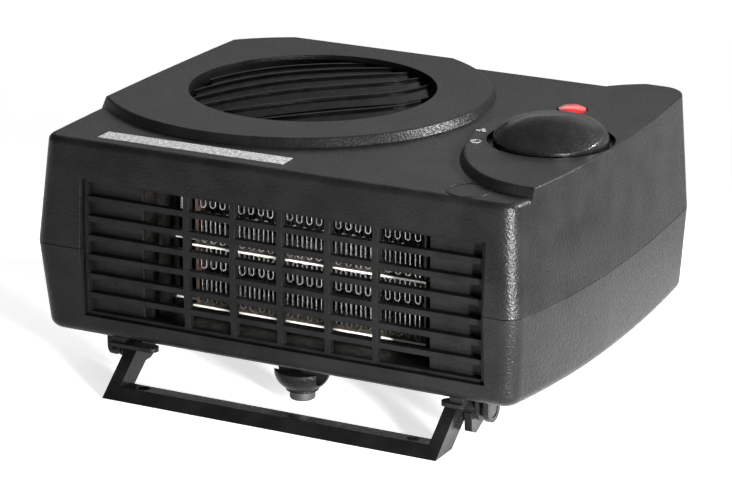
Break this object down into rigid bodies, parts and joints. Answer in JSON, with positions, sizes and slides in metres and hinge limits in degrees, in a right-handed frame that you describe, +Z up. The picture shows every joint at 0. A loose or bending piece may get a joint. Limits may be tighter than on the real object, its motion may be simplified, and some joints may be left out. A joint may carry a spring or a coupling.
{
  "type": "fan convector heater",
  "caption": "Portable fan convector heater: black case with round louvred intake on top, slotted outlet grille in front, rotary control knob with lamp, and a folding tilt stand.",
  "frame": {"origin": "middle of the bounding box at floor level, under the heater", "axes": "+Z up; -Y is the front with the outlet grille; +X is the side with the control knob"},
  "size_m": [0.266, 0.2202, 0.1395],
  "materials": {
    "case_plastic": "fine spark-eroded texture, dark grey-black",
    "grille_plastic": "satin black",
    "louvre_plastic": "smooth glossy black",
    "stand_plastic": "smooth glossy black",
    "knob_plastic": "semi-gloss black with a fine grain",
    "foil": "matt silver foil, slightly rough",
    "print_ink": "dull grey moulded marks",
    "lens_red": "clear red moulding",
    "lamp_glass": "clear",
    "insulator": "cream thermoset",
    "phenolic": "dark phenolic moulding",
    "steel": "bright zinc-plated",
    "duct_steel": "thin sheet, darkened by heat",
    "mica": "pressed mica board, pale, slightly glittery",
    "resistance_wire": "bright nickel-chrome strip",
    "copper": "lacquered copper winding",
    "bronze": "oil-filled sintered bronze",
    "brass": "bright brass",
    "core_steel": "stacked laminations",
    "zamak": "die-cast bracket",
    "rubber": "matt black",
    "fan_plastic": "black heat-resistant moulding",
    "sleeve": "woven glass sleeve, off-white"
  },
  "bodies": {
    "case": {"upper_shell": "case_plastic", "lower_shell": "case_plastic", "front_grille": "grille_plastic", "blanking_panel_right": "case_plastic", "blanking_panel_left": "case_plastic", "intake_grille": "louvre_plastic", "foil_label": "foil", "dial_marks": "print_ink", "indicator_lens": "lens_red", "neon_lamp": "lamp_glass", "lamp_holder": "insulator", "rotary_switch": "phenolic", "switch_terminals": "brass", "front_foot": "rubber", "rear_foot_left": "rubber", "rear_foot_right": "rubber", "cable_gland": "rubber", "case_screws": "steel", "fan_scroll": "fan_plastic", "scroll_cover": "fan_plastic", "motor_stator": "core_steel", "motor_coil": "copper", "motor_bobbin": "insulator", "motor_bracket_upper": "zamak", "motor_bracket_lower": "zamak", "shaft_bearings": "bronze", "motor_screws": "steel", "motor_grommets": "rubber", "heater_duct": "duct_steel", "mica_board_top": "mica", "mica_board_middle": "mica", "mica_board_bottom": "mica", "mica_posts": "phenolic", "heating_wires_upper": "resistance_wire", "heating_wires_lower": "resistance_wire", "heater_terminals": "brass", "thermal_cutout": "insulator", "cutout_bracket": "steel", "thermal_fuse": "steel", "fuse_sleeve": "sleeve", "terminal_block": "insulator", "terminal_screws": "brass", "block_seat": "case_plastic"},
    "rotor": {"fan_impeller": "fan_plastic", "hub_nut": "steel", "motor_shaft": "steel", "motor_rotor": "core_steel"},
    "knob": {"control_knob": "knob_plastic", "switch_shaft": "insulator"},
    "stand": {"bail_stand": "stand_plastic"}
  },
  "joints": [
    {"name": "stand_tilt", "type": "hinge", "parent": "case", "child": "stand", "pos_m": [0.0015, -0.07605, 0.0165], "axis": [1, 0, 0], "range_deg": [0, 135]},
    {"name": "knob_turn", "type": "hinge", "parent": "case", "child": "knob", "pos_m": [0.0981, -0.00505, 0.1265], "axis": [0, 0, 1], "range_deg": [-90, 0]},
    {"name": "fan_spin", "type": "hinge", "parent": "case", "child": "rotor", "pos_m": [-0.0445, 0.02445, 0.069], "axis": [0, 0, 1], "continuous": true}
  ]
}
